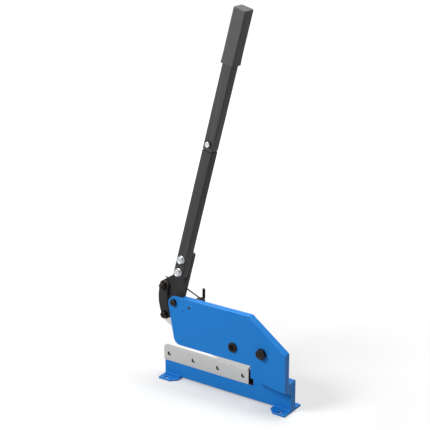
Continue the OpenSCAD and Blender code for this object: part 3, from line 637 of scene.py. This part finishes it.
def satin_paint(name, code, shade, thin_coat_and_highlight):
    """Satin paint over steel: even and dark, with a fine pebble in the film and paler edges, which are
    partly a thinner film and partly a painted highlight.
    """
    pebble_w, pebble_h, cloud_w = 1.2 * MM, 0.12 * MM, 30 * MM
    mat = material(name)
    spot = add(mat, "TexCoord")
    pebble = add(mat, "TexNoise", [("Vector", spot, "Object")], Scale=1 / pebble_w, Detail=2)
    cloud = add(mat, "TexNoise", [("Vector", spot, "Object")], Scale=1 / cloud_w, Detail=4)
    edge = add(mat, "Attribute", attribute_name="edge")
    thin_edge_and_highlight_mask = add(mat, "Math", [(0, edge, "Fac"), (1, cloud, 0)], operation="MULTIPLY")
    base = add(mat, "MixRGB", [("Fac", cloud, 0)], Color1=linear(shade), Color2=linear(code))
    # the rounded edges get a paler colour: partly the thinner film, partly a painted highlight
    colour = add(mat, "MixRGB", [("Fac", thin_edge_and_highlight_mask, 0), ("Color1", base, 0)], Color2=linear(thin_coat_and_highlight))
    rough = add(mat, "MapRange", [("Value", pebble, 0)], To_Min=0.42, To_Max=0.58)
    bump = add(mat, "Bump", [("Height", pebble, 0)], Strength=0.2, Distance=pebble_h)
    shader = add(
        mat, "BsdfPrincipled", [("Base Color", colour, 0), ("Roughness", rough, 0), ("Normal", bump, 0)],
        IOR=1.5, Specular_IOR_Level=0.1,
    )
    add(mat, "OutputMaterial", [("Surface", shader, 0)])
    return mat


plate_grey = satin_paint("satin_black_paint", "343434", "2B2B2B", "4A4A4A")
arm_edge_r = 0.7 * MM
arm = shell("lever_plate")
soften(arm, arm_edge_r)
piece(arm, "lever_arm", "lever", "lever_plate", plate_grey)

# Lever pivot
# A blackened M8 bolt from the front holds a shouldered steel sleeve behind the cheek, with a
# washer and a nut. The arm turns on the sleeve, which is plain turned steel, brownish with oil.
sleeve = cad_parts["lever_pivot_sleeve"]
sleeve.data.materials.clear()
sleeve.data.materials.append(black_oxide("oiled_bearing_steel", "5A5652", "6A6560", 0.25, 0.4))
lever_x, lever_z = pivot_set(m8, cheek_front, "lever_pivot", "lever")

# Links
# A pair of bowed flat bars, one on each side of the arm and the blade, painted like the arm.
# Black studs screwed into the rear bar hold them, each with a washer and a lock nut in front.
for node, name in (("link_front", "link_bar_front"), ("link_rear", "link_bar_rear")):
    link = shell(node)
    soften(link, arm_edge_r)
    piece(link, name, "link", node, plate_grey)
stud_r = m8["radius"]
low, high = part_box("link_studs")
ends = ((low.x + stud_r, high.z - stud_r), (high.x - stud_r, low.z + stud_r))
nut_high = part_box("link_nuts")[1]
ring_low, ring_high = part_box("link_washers")
studs, nuts, rings = [], [], []
for x, z in ends:
    stud = shank(m8, ring_high.y - high.y, 0, ring_high.y - low.y)
    ring = washer(2 * stud_r, stud_r, ring_high.y - ring_low.y)
    studs.append(along_y([stud], x, ring_high.y, z))
    nuts.append(along_y([hex_nut(m8)], x, nut_high.y, z))
    rings.append(along_y([ring], x, ring_high.y, z))
hardware(studs, "link_stud_pair", "link", "link_studs", black)
hardware(nuts, "link_nut_pair", "link", "link_nuts", black)
hardware(rings, "link_washer_pair", "link", "link_washers", black)

# Lower handle tube
# Drawn square tube, 22 mm with 2 mm walls and rounded corners, powder coated dark grey, bolted
# on the front of the arm.


def powder_coat(name, code, shade, thin_coat_and_highlight):
    """Powder coat baked on tube: matt dark grey, its fine grain a little lighter on high spots, and
    paler on its rounded edges, partly from a thinner coat and partly as a painted highlight.
    """
    grain_w, grain_h, cloud_w, light_share = 0.9 * MM, 0.12 * MM, 40 * MM, 0.25
    mat = material(name)
    spot = add(mat, "TexCoord")
    grain = add(mat, "TexNoise", [("Vector", spot, "Object")], Scale=1 / grain_w, Detail=3)
    cloud = add(mat, "TexNoise", [("Vector", spot, "Object")], Scale=1 / cloud_w, Detail=3)
    edge = add(mat, "Attribute", attribute_name="edge")
    thin_edge_and_highlight_mask = add(mat, "Math", [(0, edge, "Fac"), (1, cloud, 0)], operation="MULTIPLY")
    mixed = add(mat, "Math", [(0, grain, 0), (1, cloud, 0)], operation="MULTIPLY_ADD")
    mixed.inputs[2].default_value = light_share
    base = add(mat, "MixRGB", [("Fac", mixed, 0)], Color1=linear(shade), Color2=linear(code))
    # the rounded edges get a paler colour: partly the thinner coat, partly a painted highlight
    colour = add(mat, "MixRGB", [("Fac", thin_edge_and_highlight_mask, 0), ("Color1", base, 0)], Color2=linear(thin_coat_and_highlight))
    bump = add(mat, "Bump", [("Height", grain, 0)], Strength=0.35, Distance=grain_h)
    shader = add(
        mat, "BsdfPrincipled", [("Base Color", colour, 0), ("Normal", bump, 0)],
        IOR=1.5, Roughness=0.58, Specular_IOR_Level=0.1,
    )
    add(mat, "OutputMaterial", [("Surface", shader, 0)])
    return mat


tube_grey = powder_coat("grey_powder_coat", "484848", "3C3C3C", "5C5C5C")
tube_edge_r = 0.3 * MM
tube = shell("lower_tube")
soften(tube, tube_edge_r)
piece(tube, "handle_tube_lower", "lever", "lower_tube", tube_grey)

# Tube bolts
# Two zinc-plated flange bolts through the tube and the arm, one above the other on the handle's
# line, with zinc-plated nuts on the arm's back.
lean = math.radians(15)
flange_r, flange_h = 8.24 * MM, 1.6 * MM
rim_share, top_share = 0.6, 0.86  # height of the flange's rim, and radius of its top
tube_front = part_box("lower_tube")[0].y
low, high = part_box("tube_bolts")
nut_low, nut_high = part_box("tube_nuts")
bolts, nuts = [], []
for x, z in ((low.x + flange_r, low.z + flange_r), (high.x - flange_r, high.z - flange_r)):
    flange = turned([
        (0, 0), (flange_r, 0), (flange_r, flange_h * rim_share),
        (flange_r * top_share, flange_h), (0, flange_h),
    ])
    head = hex_head({**m8, "head": flange_h / 2 + m8["head"]})
    bmesh.ops.translate(head, vec=(0, 0, flange_h / 2), verts=head.verts)
    rod = shank(m8, in_head, tube_front - nut_low.y, tube_front - high.y)
    bolts.append(along_y([flange, head, rod], x, tube_front, z, lean))
    nuts.append(along_y([hex_nut(m8)], x, nut_high.y, z, lean))
hardware(bolts, "tube_flange_bolts", "lever", "tube_bolts", zinc)
hardware(nuts, "tube_lock_nuts", "lever", "tube_nuts", zinc)

# Coupling
# A short solid bar inside both tubes joins them; one zinc bolt on a wide black washer holds the
# upper tube to it, with a nut behind.
core = shell("coupling_bar")
soften(core, tube_edge_r)
piece(core, "coupling_core", "lever", "coupling_bar", tube_grey)
m6 = {"radius": 3 * MM, "flats": 10 * MM, "head": 3.9 * MM, "nut": 4.8 * MM, "pitch": 1 * MM}
low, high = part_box("coupling_bolt")
x, z = (low.x + high.x) / 2, (low.z + high.z) / 2
ring_low, ring_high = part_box("coupling_washer")
nut_low, nut_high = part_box("coupling_nut")
bolt = [hex_head(m6), shank(m6, in_head, ring_low.y - nut_low.y, ring_low.y - high.y)]
hardware([along_y(bolt, x, ring_low.y, z, lean)], "coupling_screw", "lever", "coupling_bolt", zinc)
ring = washer((ring_high.x - ring_low.x) / 2, m6["radius"], ring_high.y - ring_low.y)
hardware([along_y([ring], x, ring_high.y, z, lean)], "coupling_ring", "lever", "coupling_washer", black)
nut = along_y([hex_nut(m6)], x, nut_high.y, z, lean)
hardware([nut], "coupling_lock_nut", "lever", "coupling_nut", zinc)

# Upper handle tube
# The same drawn square tube, a shade lighter in the coat, pushed over the coupling bar and held
# by its bolt.
upper_grey = powder_coat("light_grey_powder_coat", "525252", "464646", "686868")
tube = shell("upper_tube")
soften(tube, tube_edge_r)
piece(tube, "handle_tube_upper", "lever", "upper_tube", upper_grey)

# Grip
# Soft PVC sleeve moulded to the tube's square and pushed over its end, closed and rounded at the
# top, with a fine grain from the mould and a low bead round its mouth.


def moulded_pvc(name, code, shade):
    """Moulded PVC: dull dark grey with an even spark-eroded grain and slight rub marks."""
    grain_w, grain_h, rub_w = 0.7 * MM, 0.12 * MM, 22 * MM
    mat = material(name)
    spot = add(mat, "TexCoord")
    grain = add(mat, "TexNoise", [("Vector", spot, "Object")], Scale=1 / grain_w, Detail=2)
    rub = add(mat, "TexNoise", [("Vector", spot, "Object")], Scale=1 / rub_w, Detail=5)
    colour = add(mat, "MixRGB", [("Fac", rub, 0)], Color1=linear(shade), Color2=linear(code))
    rough = add(mat, "MapRange", [("Value", rub, 0)], To_Min=0.5, To_Max=0.7)
    bump = add(mat, "Bump", [("Height", grain, 0)], Strength=0.3, Distance=grain_h)
    shader = add(
        mat, "BsdfPrincipled", [("Base Color", colour, 0), ("Roughness", rough, 0), ("Normal", bump, 0)],
        IOR=1.52, Specular_IOR_Level=0.1,
    )
    add(mat, "OutputMaterial", [("Surface", shader, 0)])
    return mat


pvc = moulded_pvc("moulded_pvc", "5C5C5C", "505050")
grip_w, grip_l, side_r, top_r = 29 * MM, 107 * MM, 4 * MM, 2.4 * MM
bead_h, bead_out = 4 * MM, 0.5 * MM
bore_w, bore_l = 22.2 * MM, 101 * MM
handle_off, grip_foot = -2 * MM, 511 * MM  # from the lever pivot, across and along the handle
tube_half = 11 * MM
narrow, crisp = 8 * MM, 40  # faces narrower than this are rounded; edges above 40 degrees are not
grip = bmesh.new()
bmesh.ops.create_cube(grip, size=1, matrix=Matrix.Diagonal((grip_w, grip_w, grip_l, 1)))
bmesh.ops.translate(grip, vec=(0, 0, grip_l / 2), verts=grip.verts)
uprights = [e for e in grip.edges if abs(e.verts[0].co.z - e.verts[1].co.z) > grip_l / 2]
bmesh.ops.bevel(
    grip, geom=uprights, offset=side_r, offset_type="OFFSET", affect="EDGES",
    segments=6, profile=0.5, material=-1,
)
for height in (bead_h, bead_h + bead_out):
    whole = grip.verts[:] + grip.edges[:] + grip.faces[:]
    bmesh.ops.bisect_plane(grip, geom=whole, dist=TOUCH, plane_co=(0, 0, height), plane_no=(0, 0, 1))
shrink = 1 - 2 * bead_out / grip_w
waist = [v for v in grip.verts if v.co.z > bead_h + near]
bmesh.ops.scale(grip, vec=(shrink, shrink, 1), verts=waist)
mouth = [f for f in grip.faces if f.normal.z < -0.9]
bmesh.ops.inset_region(grip, faces=mouth, thickness=(grip_w - bore_w) / 2)
bmesh.ops.translate(grip, vec=(0, 0, bore_l), verts=list({v for f in mouth for v in f.verts}))
rims = [e for e in grip.edges if angle(e) > crisp and min(v.co.z for v in e.verts) > grip_l - near]
bmesh.ops.bevel(
    grip, geom=rims, offset=top_r, offset_type="OFFSET", affect="EDGES",
    segments=4, profile=0.5, material=-1,
)
for face in grip.faces:
    face.smooth = len(face.verts) == 4 and face.calc_area() < narrow * grip_l
for edge in grip.edges:
    edge.smooth = angle(edge) < crisp
seat = Matrix.Translation((lever_x, tube_front + tube_half, lever_z)) @ Matrix.Rotation(lean, 4, "Y")
bmesh.ops.transform(grip, matrix=seat @ Matrix.Translation((handle_off, 0, grip_foot)), verts=grip.verts)
piece(grip, "grip_sleeve", "lever", "grip", pvc)

# Spring bracket, rivet and pin
# A small black bracket behind the cheek, riveted through it; the rivet's end shows rust brown
# in front. The bracket carries the hub of the spring and a pin that is bent upright.
bracket_edge_r, pin_edge_r = 0.6 * MM, 0.4 * MM
bracket = shell("spring_bracket")
soften(bracket, bracket_edge_r)
piece(bracket, "spring_bracket_block", "frame", "spring_bracket", black)
rust = black_oxide("rusty_rivet_steel", "463226", "2A1F19", 0.6, 0.8)
rivet_r, rim_drop, crown_drop, crown_share = 3 * MM, 0.5 * MM, 0.1 * MM, 0.7
low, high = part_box("bracket_rivet")
x, z, rivet_l = (low.x + high.x) / 2, (low.z + high.z) / 2, high.y - low.y
dome = turned([
    (0, -rivet_l), (rivet_r, -rivet_l), (rivet_r, -rim_drop), (rivet_r * crown_share, -crown_drop), (0, 0),
], steps=24)
hardware([along_y([dome], x, low.y, z)], "bracket_rivet_bar", "frame", "bracket_rivet", rust)
pin = shell("spring_pin")
soften(pin, pin_edge_r)
piece(pin, "spring_pin_bar", "frame", "spring_pin", black)

# Return spring
# Hard-drawn round wire, oil blackened, wound on the hub: one end is hooked in the cheek, the
# long arm lies on the upper stud and goes down with it.
swell = 0.3 * MM  # the wire's six sides shrink when they are rounded, so they start further out
wire = shell("return_spring", whole=False)
bmesh.ops.join_triangles(
    wire, faces=wire.faces, angle_face_threshold=math.radians(35), angle_shape_threshold=math.radians(180)
)
bmesh.ops.recalc_face_normals(wire, faces=wire.faces)
wire.normal_update()
for vert in wire.verts:
    vert.co += vert.normal * swell
for face in wire.faces:
    face.smooth = True
spring_black = black_oxide("oil_black_spring_wire", "1D1B19", "2A2522", 0.3, 0.45)
spring = piece(wire, "return_spring_wire", None, "return_spring", spring_black)
rounding = spring.modifiers.new("round_wire", "SUBSURF")
rounding.levels = rounding.render_levels = 2
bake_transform(spring)

low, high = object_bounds()
